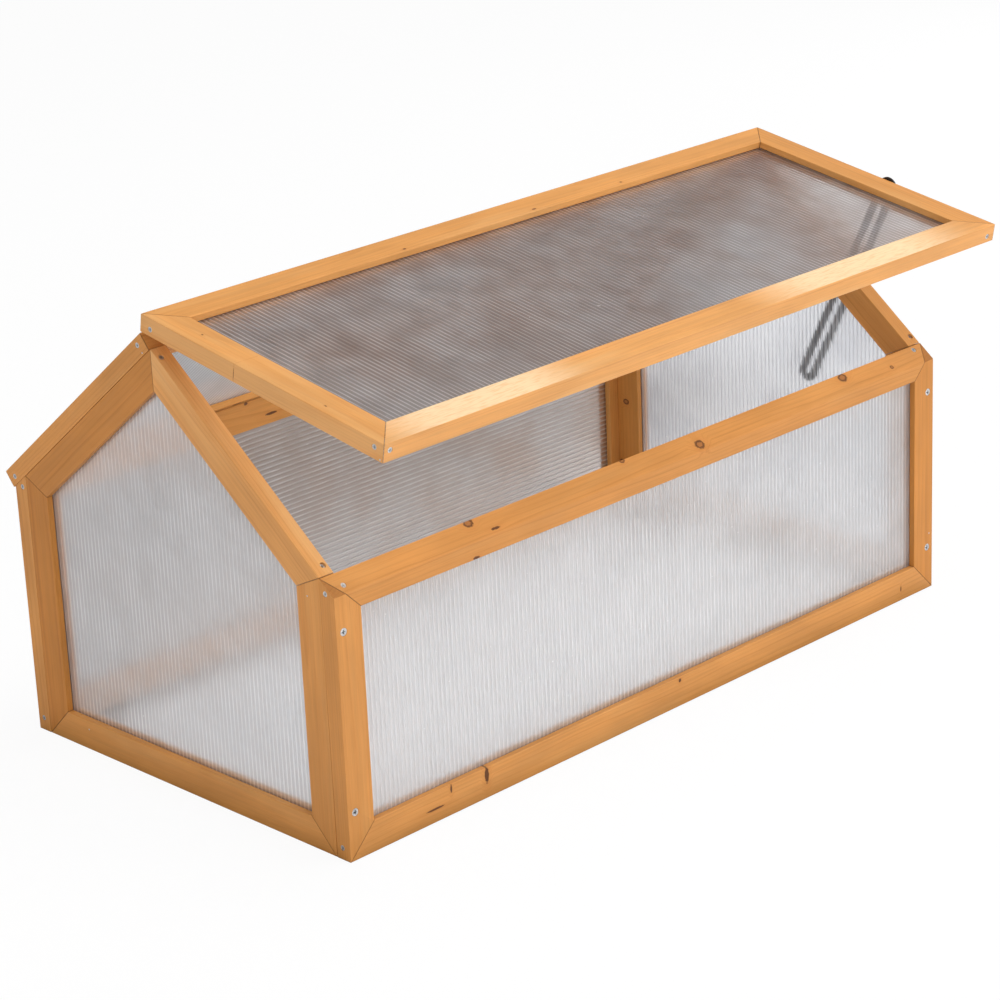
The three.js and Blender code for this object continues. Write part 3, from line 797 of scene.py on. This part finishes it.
def corner_screws(panels):
    """The screws driven in from both ends of each long panel across its four mitres."""
    rng = random.Random(5)
    for name, members in LONG_PANELS.items():
        low_rail, high_rail, left, right = (f"{name}_{m}" for m in members)
        bevel_room = BEVEL_ROOM if name in ("front", "back") else 0.0
        levels = (
            ("lower", low_rail, MITRE_SCREW_INSET),
            ("upper", high_rail, -MITRE_SCREW_INSET - bevel_room),
        )
        for side, batten_name, near, way in (("left", left, 0.0, -X), ("right", right, FAR, X)):
            for level, rail, up in levels:
                slip_up = rng.uniform(-2, 2) * MM
                slip_through = rng.uniform(-3, 3) * MM
                place = panels[name].point(near, up + slip_up, BATTEN / 2 + slip_through)
                screw_name = f"{name}_{side}_{level}_mitre_screw"
                yield screw_name, (batten_name, rail), standing(way, place), LONG_SCREW


def lid_front_screws(lid):
    """One screw through the lid's front rail into each side rail."""
    for side, across, through in (("left", 8 * MM, 7.6 * MM), ("right", -11 * MM, 12 * MM)):
        place = standing(-lid.up, lid.point(across, 0.0, through))
        battens = ("lid_front_rail", f"lid_{side}_rail")
        yield f"lid_front_{side}_mitre_screw", battens, place, LONG_SCREW


def bevel_screws(panels):
    """One screw down through the front rail's bevel into each stile."""
    uphill, out = rafter_ways(panels)
    low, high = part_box("front_top_rail")
    for side, x, down in (("left", low.x + 19 * MM, 15 * MM), ("right", high.x - 16 * MM, 5.5 * MM)):
        place = standing(out, bevel_edge() - uphill * down + X * x)
        battens = ("front_top_rail", f"front_{side}_stile")
        yield f"front_{side}_bevel_screw", battens, place, SHORT_SCREW


def rafter_screws(panels):
    """One screw at the foot and one at the crown of each front rafter. The foot's is sunk deep."""
    uphill, out = rafter_ways(panels)
    for side in ("left", "right"):
        rafter, post = f"{side}_end_front_rafter", f"{side}_end_front_post"
        post_low, post_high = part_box(post)
        rafter_low, rafter_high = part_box(rafter)
        middle = (post_low.x + post_high.x) / 2
        foot = Vector((middle + 4 * MM, rafter_low.y, bevel_edge().z)) + uphill * 11 * MM
        crown = Vector((middle - 4 * MM, rafter_high.y, rafter_high.z)) - uphill * 12 * MM
        foot_place = standing(out, foot - out * 1.6 * MM)
        yield f"{side}_rafter_foot_screw", (rafter, post), foot_place, SHORT_SCREW
        pair = (rafter, f"{side}_end_back_rafter")
        yield f"{side}_rafter_crown_screw", pair, standing(out, crown), SHORT_SCREW


def mitre_screws(panels):
    """Every small screw across a joint: name, the two battens it joins, placing matrix and length."""
    on_the_lid = lid_front_screws(panels["lid"])
    return [*corner_screws(panels), *on_the_lid, *bevel_screws(panels), *rafter_screws(panels)]


def brads(panels):
    """Small nails that pin the joints: name, body, place on the wood's face and the way they face."""
    front, lid = panels["front"], panels["lid"]
    post_low, post_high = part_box("left_end_front_post")
    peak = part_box("left_end_front_rafter")[1].z
    face = post_low.x
    return [
        ("front_right_brad", "frame", front.point(-6 * MM, 66 * MM, 0.0), -Y),
        ("left_post_brad", "frame", Vector((face, 27.7 * MM, post_high.z - 22 * MM)), -X),
        ("left_crown_brad", "frame", Vector((face, 245 * MM, peak - 6 * MM)), -X),
        ("left_foot_brad", "frame", Vector((face, 388 * MM, 23 * MM)), -X),
        ("lid_left_brad", "lid", lid.point(0.0, 4 * MM, -2.5 * MM), -X),
    ]


# --- Sheets ---


def outline_limits(points, u):
    """Lowest and highest v of a convex outline at one u."""
    hits = []
    for (u0, v0), (u1, v1) in zip(points, points[1:] + points[:1]):
        if abs(u1 - u0) < 1e-9:
            continue
        share = (u - u0) / (u1 - u0)
        if -1e-6 <= share <= 1 + 1e-6:
            hits.append(v0 + (v1 - v0) * share)
    return min(hits), max(hits)


def sheet_outline(node, across, flutes):
    """The CAD sheet's corners as (u, v) in order round it, its normal, its middle plane's place along
    that, and its thickness."""
    bm = welded(node)
    out = across.cross(flutes).normalized()
    places = [v.co.copy() for v in bm.verts]
    bm.free()
    depths = [p.dot(out) for p in places]
    middle = (min(depths) + max(depths)) / 2
    thickness = max(depths) - min(depths)
    corners = {(round(p.dot(across), 6), round(p.dot(flutes), 6)) for p in places}
    centre_u = sum(u for u, v in corners) / len(corners)
    centre_v = sum(v for u, v in corners) / len(corners)
    ordered = sorted(corners, key=lambda c: math.atan2(c[1] - centre_v, c[0] - centre_u))
    return ordered, out, middle, thickness


def rib_lines(low, high):
    """Edges of every rib across the sheet; a rib closes each side, and the pitch is kept from the middle."""
    middle = (low + high) / 2
    reach = int((high - low) / 2 / RIB_PITCH - SIDE_GAP)
    lines = [low, low + RIB]
    for index in range(-reach, reach + 1):
        centre = middle + index * RIB_PITCH
        lines += [centre - RIB / 2, centre + RIB / 2]
    return lines + [high - RIB, high]


def twin_wall(node, across, flutes, materials):
    """A hollow sheet: two skins joined by ribs, open at both ends of its flutes."""
    points, out, middle, thickness = sheet_outline(node, across, flutes)
    low, high = min(points)[0], max(points)[0]
    lines = rib_lines(low, high)
    half = thickness / 2
    levels = (-half, SKIN - half, half - SKIN, half)
    bm = bmesh.new()
    grid = {}
    for i, u in enumerate(lines):
        ends = outline_limits(points, min(max(u, low + 1e-6), high - 1e-6))
        for j, level in enumerate(levels):
            for e in (0, 1):
                place = across * u + flutes * ends[e] + out * (middle + level)
                grid[i, j, e] = bm.verts.new(place)
    skin, inside, rib = 0, 1, 2

    def quad(material, *keys):
        face = bm.faces.new([grid[key] for key in keys])
        face.material_index = material

    last = len(lines) - 1
    for i in range(last):
        is_rib = i % 2 == 0
        for j in (0, 3):
            quad(skin, (i, j, 0), (i, j, 1), (i + 1, j, 1), (i + 1, j, 0))
        for j in (0, 1, 2) if is_rib else (0, 2):
            for e in (0, 1):
                quad(rib, (i, j, e), (i + 1, j, e), (i + 1, j + 1, e), (i, j + 1, e))
        if not is_rib:
            for j in (1, 2):
                quad(inside, (i, j, 0), (i + 1, j, 0), (i + 1, j, 1), (i, j, 1))
            for k in (i, i + 1):
                quad(rib, (k, 1, 0), (k, 1, 1), (k, 2, 1), (k, 2, 0))
    for j in range(3):
        for k in (0, last):
            quad(rib, (k, j, 0), (k, j + 1, 0), (k, j + 1, 1), (k, j, 1))
    bmesh.ops.recalc_face_normals(bm, faces=bm.faces)
    piece = make_object("hollow_" + node, bm)
    centre = (low + high) / 2
    places = [vertex.co.dot(across) for vertex in piece.data.vertices]
    store(piece.data, "flute", "POINT", [(place - centre) / RIB_PITCH for place in places])
    store(piece.data, "across", "POINT", [across] * len(places))
    add_piece(piece, BODY_OF[node], "twin_wall_sheet", *materials)
    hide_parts(node)


# --- Hardware ---


def replaced(node, bm, slot, material, name, angle=38):
    piece = make_object(name, bm)
    shade(piece, angle)
    add_piece(piece, BODY_OF[node], slot, material)
    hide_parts(node)


def finer_screw(node, way, head, shank, length, material):
    """A threaded screw in place of a CAD one. way points out of the wood."""
    face = max(v.co.dot(way) for v in frame["nodes"][node].data.vertices)
    low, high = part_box(node)
    middle = (low + high) / 2
    origin = middle + way * (face - middle.dot(way))
    bm = wood_screw(head, shank, length)
    bm.transform(standing(way, origin))
    replaced(node, bm, "screws", material, "threaded_" + node)


def eased_copy(node, slot, material, offset, name):
    """A CAD metal part with its sharp edges rounded off."""
    bm = welded(node)
    sharp = [
        e for e in bm.edges if len(e.link_faces) == 2 and abs(e.calc_face_angle_signed()) > math.radians(35)
    ]
    bmesh.ops.bevel(
        bm, geom=sharp, offset=offset, segments=2, profile=0.5, affect="EDGES", clamp_overlap=True
    )
    replaced(node, bm, slot, material, name, 42)


def turned_piece(node, bm, slot, material, name):
    """A mesh turned about z in place of a CAD piece that lies along +X."""
    bmesh.ops.recalc_face_normals(bm, faces=bm.faces)
    low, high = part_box(node)
    middle = (low + high) / 2
    bm.transform(standing(X, Vector((low.x, middle.y, middle.z))))
    replaced(node, bm, slot, material, name)


def washer(node, material):
    """A stamped washer with rolled edges, sized from the CAD's."""
    low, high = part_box(node)
    radius = (high.y - low.y) / 2
    thickness = high.x - low.x
    bore = radius * 0.415
    edge = thickness * 0.3
    bm = bmesh.new()
    section = [(bore, edge), (bore, thickness - edge), (bore + edge, thickness)]
    section += [(radius - edge, thickness), (radius, thickness - edge), (radius, edge)]
    section += [(radius - edge, 0), (bore + edge, 0), (bore, edge)]
    lathe(bm, section, 48)
    bmesh.ops.remove_doubles(bm, verts=bm.verts, dist=WELD)
    turned_piece(node, bm, "stay_hardware", material, "rolled_" + node)


def hinge_pin(node, material):
    """A pin with domed ends."""
    low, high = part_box(node)
    radius = (high.z - low.z) / 2
    length = high.x - low.x
    dome = radius * 0.4
    bm = bmesh.new()
    profile = [(0, 0), (radius * 0.6, dome * 0.2), (radius, dome), (radius, length - dome)]
    profile += [(radius * 0.6, length - dome * 0.2), (0, length)]
    lathe(bm, profile, 32)
    turned_piece(node, bm, "hinges", material, "domed_" + node)


def clamp_bolt(node, material):
    """Dome-headed bolt through the rafter, threaded where the wing nut runs."""
    low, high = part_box(node)
    length = high.x - low.x
    head = 5.6 * MM
    neck = 3.0 * MM
    core = STUD * 0.92
    pitch = 0.8 * MM
    bm = bmesh.new()
    profile = [(0, 0), (head * 0.4, 0.15 * MM), (head * 0.75, 0.9 * MM), (head * 0.95, 2.0 * MM)]
    profile += [(head, 2.6 * MM), (head * 0.98, neck), (STUD, neck)]
    profile += thread_rings(core, length * 0.45, length - 0.6 * MM, pitch)
    profile += [(STUD * 0.75, length), (0, length)]
    lathe(bm, profile, 24, thread=STUD * 0.14, pitch=pitch)
    turned_piece(node, bm, "stay_hardware", material, "threaded_" + node)


def pivot_screw(node, material):
    """Pan-headed screw that the stay turns on."""
    low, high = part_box(node)
    length = high.x - low.x
    head = 4.8 * MM
    core = STUD * 0.8
    seat = length - 2.9 * MM
    pitch = 1.6 * MM
    bm = bmesh.new()
    profile = [(0, 0), (STUD * 0.4, 1.2 * MM), (core, 3 * MM)]
    profile += thread_rings(core, 3.2 * MM, length - 8 * MM, pitch)
    profile += [(STUD, length - 7.5 * MM), (STUD, seat), (head * 0.97, seat), (head, seat + 0.4 * MM)]
    profile += [(head * 0.97, length - 1.6 * MM), (head * 0.86, length - 0.6 * MM), (head * 0.66, length)]
    rim = lathe(bm, profile, 24, thread=STUD * 0.25, pitch=pitch)
    cross_recess(bm, rim, head * 0.52, head * 0.12, 1.5 * MM, length)
    turned_piece(node, bm, "stay_hardware", material, "threaded_" + node)


# --- Putting it together ---

PANEL_KNOTS = (
    ("front", "bottom_rail", "mark", ((184, 25, 3.1, 9.5), (135, 28, 1.4, 5.0), (113, 14.5, 13, 1.3))),
    ("front", "bottom_rail", "mark", ((-57, 14, 1.0, 3.6), (470, 29, 2.2, 2.4))),
    ("lid", "ridge_rail", "mark", ((318, -28.7, 2.2, 1.3), (397, -38, 1.6, 1.3), (506, -28.4, 3.2, 1.3))),
    ("lid", "ridge_rail", "mark", ((641, -27.8, 1.8, 1.3), (650, -36, 1.8, 1.3))),
    ("lid", "left_rail", "mark", ((17, -70, 1.2, 1.0), (10, -250, 1.6, 0.9))),
    ("back", "top_rail", "mark", ((331, -22, 9.0, 1.7), (296, -2, 2.8, 2.0))),
    ("back", "bottom_rail", "knot", ((610, 15, 4.8, 3.8),)),
    ("back", "left_stile", "knot", ((15, 190, 3.4, 2.6),)),
    ("roof", "eave_rail", "mark", ((281, 31, 7.0, 1.3), (238, 32, 2.4, 1.5))),
    ("roof", "eave_rail", "knot", ((590, 18, 3.6, 2.6),)),
    ("roof", "right_rail", "knot", ((-16, 180, 3.8, 2.8),)),
)  # panel, batten, kind, then across and up the panel, half length along the grain and half width, in mm
UPRIGHTS = ("left_rail", "right_rail", "left_stile")  # battens whose grain runs up their panel
BEVEL_KNOTS = ((-259, 3, 4.4), (-39, 1, 2.6), (66, 16, 4.8), (309, 5, 4.7), (385, 15, 2.0))
POST_KNOTS = (
    ("right_end_back_post", "knot", 441, 133, 3.2, 4.2),
    ("right_end_back_post", "mark", 451, 55, 2.0, 3.2),
    ("left_end_back_post", "mark", 462, 240, 7.0, 1.5),
)  # batten, kind, y, z, half length and half width, in mm


def knots_by_batten(panels):
    """Where the battens with knots and resin marks have them."""
    knots = {}

    def add(node, kind, place, way, out, along, across):
        knot = Knot(place, way, out, along * MM, across * MM, kind == "mark")
        knots.setdefault(node, []).append(knot)

    for name, member, kind, spots in PANEL_KNOTS:
        panel = panels[name]
        way = panel.up if member in UPRIGHTS else X
        for across, up, along, wide in spots:
            place = panel.point(across * MM, up * MM, FAR)
            add(f"{name}_{member}", kind, place, way, panel.through, along, wide)
    uphill, out = rafter_ways(panels)
    edge = bevel_edge()
    for x, down, radius in BEVEL_KNOTS:
        place = edge + (X * x - uphill * down) * MM
        add("front_top_rail", "knot", place, X, out, radius * 1.25, radius)
    add("front_top_rail", "mark", edge - (X * 234 + uphill * 18.5) * MM, X, out, 6.5, 1.6)
    lower_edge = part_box("front_top_rail")[0].z + 1.5 * MM
    add("front_top_rail", "mark", Vector((-266 * MM, 0, lower_edge)), X, -Y, 5, 1.8)
    for node, kind, y, z, along, across in POST_KNOTS:
        add(node, kind, Vector((0, y, z)) * MM, Z, -X, along, across)
    add("left_end_front_rafter", "mark", Vector((0, 72, 342)) * MM, uphill, X, 2.6, 1.6)
    lid = panels["lid"]
    add("lid_left_rail", "mark", lid.point(0.0, -135 * MM, 10.5 * MM), lid.up, -X, 0.4, 6.5)
    return knots


def build_battens(panels, screws):
    knots = knots_by_batten(panels)
    lid = panels["lid"]
    # the lid's front rail gets paler patches: partly wear, partly a painted sheen of a highlight
    patches = [(lid.point(across, 0.0, 0.0), X, reach, -lid.through) for across, reach in SHEEN_AND_WEAR_PATCHES]
    worn = {"lid_front_rail": patches}
    plain = stained_wood("stained_fir")
    holes = {}
    for name, joined, place, length in screws:
        for node in joined:
            holes.setdefault(node, []).append((place, length))
    battens = [node for node in frame["nodes"] if node.endswith(("post", "rafter", "rail", "stile"))]
    for index, node in enumerate(sorted(battens)):
        rng = random.Random(index + 11)
        material = plain
        if node in knots or node in worn:
            name = "stained_fir_" + node
            material = stained_wood(name, knots.get(node, ()), worn.get(node, ()))
        batten(node, material, rng, holes.get(node, []))


def build_sheets(panels):
    inner = (sheet_inside(), sheet_rib())
    ways = {
        "front_sheet": (X, Z),
        "back_sheet": (Z, X),
        "left_end_sheet": (Y, Z),
        "right_end_sheet": (Y, Z),
        "roof_sheet": (X, panels["roof"].up),
        "lid_sheet": (X, panels["lid"].up),
    }
    for node, (across, flutes) in ways.items():
        skin = sheet_skin("twin_wall_" + node.replace("sheet", "skin"), **SKINS[node])
        twin_wall(node, across, flutes, (skin, *inner))


def build_screws(panels, screws, zinc):
    ways = {
        "front_": (-Y, FRAME_SCREW),
        "back_": (Y, FRAME_SCREW),
        "hinge_roof": (panels["roof"].through, HINGE_SCREW),
        "hinge_lid": (panels["lid"].up, HINGE_SCREW),
    }
    for node in sorted(frame["nodes"]):
        for word, (way, sizes) in ways.items():
            if "_screw" in node and word in node:
                finer_screw(node, way, material=zinc, **sizes)
    for name, joined, place, length in screws:
        bm = wood_screw(**MITRE_SCREW, length=length)
        bm.transform(place @ Matrix.Translation((0, 0, -SCREW_SINK)))
        small_metal(name, bm, BODY_OF[joined[0]], zinc)
    for name, body, place, way in brads(panels):
        bm = nail_head()
        bm.transform(standing(way, place))
        small_metal(name, bm, body, zinc)


def nail_head():
    bm = bmesh.new()
    profile = [(0, -0.5 * MM), (BRAD, -0.4 * MM), (BRAD, 0.05 * MM), (BRAD * 0.6, 0.16 * MM), (0, 0.2 * MM)]
    lathe(bm, profile, 20)
    bmesh.ops.recalc_face_normals(bm, faces=bm.faces)
    return bm


def small_metal(name, bm, body, zinc):
    """A screw or nail that the CAD doesn't have."""
    piece = make_object(name, bm)
    shade(piece)
    add_piece(piece, body, "screws", zinc)


def build_hardware(zinc, black):
    for node in sorted(frame["nodes"]):
        if node.endswith("_leaf"):
            eased_copy(node, "hinges", zinc, LEAF_EASING, "eased_" + node)
        elif node.endswith("_pin"):
            hinge_pin(node, zinc)
        elif node.endswith("_washer"):
            washer(node, zinc)
    clamp_bolt("stay_clamp_bolt", zinc)
    pivot_screw("stay_pivot_screw", zinc)
    eased_copy("stay_wing_nut", "stay_hardware", zinc, STAY_EASING, "eased_stay_wing_nut")
    eased_copy("stay_arm", "stay_arm", black, STAY_EASING, "eased_stay_arm")


# --- Floor, light and camera ---

FLOOR_REACH = 14.0
FLOOR_CLEARANCE = 0.5 * MM  # how far the floor lies below the frame


def pale_floor():
    """White to the camera. To other rays it is painted with shade: a darker floor behind the frame, and a
    painted contact shadow close to its foot.
    """
    g = material_graph("pale_floor")
    path = g.node("LightPath")
    speckle = g.noise(g.place(), 35, 3.0)
    seen = g.mix(g.smooth(speckle, 0.3, 0.7), rgb(0.91, 0.91, 0.91), rgb(0.93, 0.93, 0.93))
    # painted shade: behind the frame the floor turns dark brown for rays that reach it through the sheets
    spot = g.node("SeparateXYZ", g.place())
    right_of_it = g.smooth(spot.outputs[0], 0.65, 1.05, 1.0, 0.0)
    left_of_it = g.smooth(spot.outputs[0], -0.7, -0.45)
    behind = g.mul(g.smooth(spot.outputs[1], 0.40, 0.80), g.mul(right_of_it, left_of_it))
    carried = g.mix(behind, rgb(0.92, 0.92, 0.93), rgb(0.30, 0.25, 0.22))
    # painted contact shadow: ambient occlusion darkens the floor's colour next to the frame's foot
    corner = g.node("AmbientOcclusion", rgb(1, 1, 1), 75 * MM, samples=8)
    painted_contact_shadow = g.smooth(corner.outputs[1], 0.52, 0.86, 1.0, 0.0)
    carried = g.mix(painted_contact_shadow, carried, rgb(0.03, 0.035, 0.035))
    is_seen = path.outputs["Is Camera Ray"]
    paper = g.node("BsdfDiffuse", g.mix(is_seen, carried, seen)).outputs[0]
    lit_paper = g.node("Emission", rgb(1.0, 1.0, 1.0), 1.0).outputs[0]
    floor_material = g.finish(mixed(g, g.mul(is_seen, 0.93), paper, lit_paper))
    bm = bmesh.new()
    bmesh.ops.create_grid(bm, x_segments=2, y_segments=2, size=FLOOR_REACH)
    floor = make_object("studio_floor", bm)
    floor.data.materials.append(floor_material)
    floor.location.z = -FLOOR_CLEARANCE
    floor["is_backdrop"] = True


def studio_world():
    """White to the camera; to everything else a soft room that is brighter in front and to the right."""
    g = Graph(bpy.data.worlds.new("studio"))
    path = g.node("LightPath")
    way = g.node("NewGeometry").outputs["Incoming"]
    toward = g.dot(way, (-0.25, 0.95, -0.15))
    room = g.mix(g.smooth(toward, -0.8, 0.9), rgb(0.22, 0.195, 0.18), rgb(1.0, 1.0, 1.02))
    colour = g.mix(path.outputs["Is Camera Ray"], room, rgb(1, 1, 1))
    background = g.node("Background", colour, 0.80).outputs[0]
    bpy.context.scene.world = g.finish(background, "OutputWorld")


def softbox(name, place, aim, width, height, power, glossy=True):
    light = bpy.data.lights.new(name, "AREA")
    light.shape = "RECTANGLE"
    light.size, light.size_y = width, height
    light.energy = power
    lamp = bpy.data.objects.new(name, light)
    bpy.context.scene.collection.objects.link(lamp)
    lamp.visible_glossy = glossy
    lamp.location = place
    lamp.rotation_mode = "QUATERNION"
    lamp.rotation_quaternion = (Vector(aim) - Vector(place)).to_track_quat("-Z", "Y")


def studio_lights():
    aim = (0, 0.23, 0.2)
    softbox("key_light", (1.5, -3.2, 1.7), aim, 2.4, 2.0, 50)
    softbox("left_fill", (-3.4, -0.5, 1.5), aim, 2.2, 2.0, 29)
    softbox("top_light", (0.6, -0.4, 3.4), aim, 2.0, 2.0, 52, glossy=False)
    softbox("right_light", (3.2, 0.9, 1.2), aim, 1.6, 1.6, 22, glossy=False)


def camera():
    data = bpy.data.cameras.new("camera")
    data.lens = LENS
    data.sensor_width = SENSOR
    data.clip_end = 60
    eye = bpy.data.objects.new("camera", data)
    bpy.context.scene.collection.objects.link(eye)
    ahead = Vector((-math.sin(VIEW_AZIMUTH), math.cos(VIEW_AZIMUTH), 0))
    back = Z * math.sin(VIEW_ELEVATION) - ahead * math.cos(VIEW_ELEVATION)
    level = (-back).to_track_quat("-Z", "Y").to_matrix().to_4x4()
    place = Matrix.Translation(VIEW_AIM + back * VIEW_DISTANCE)
    eye.matrix_world = place @ level @ Matrix.Rotation(-VIEW_ROLL, 4, "Z")
    bpy.context.scene.camera = eye


def render_quality():
    scene = bpy.context.scene
    scene.view_settings.view_transform = "Standard"
    scene.cycles.max_bounces = 16
    scene.cycles.transparent_max_bounces = 96
    scene.cycles.transmission_bounces = 12
    scene.cycles.sample_clamp_indirect = 6.0


def build():
    panels = long_panels()
    screws = mitre_screws(panels)
    zinc = zinc_plate()
    build_battens(panels, screws)
    build_sheets(panels)
    build_screws(panels, screws, zinc)
    build_hardware(zinc, powder_coat())


build()
pale_floor()
studio_world()
studio_lights()
camera()
render_quality()

boxes = {"cad": cad_box, "visual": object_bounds()}
{name: [list(corner) for corner in box] for name, box in boxes.items()}
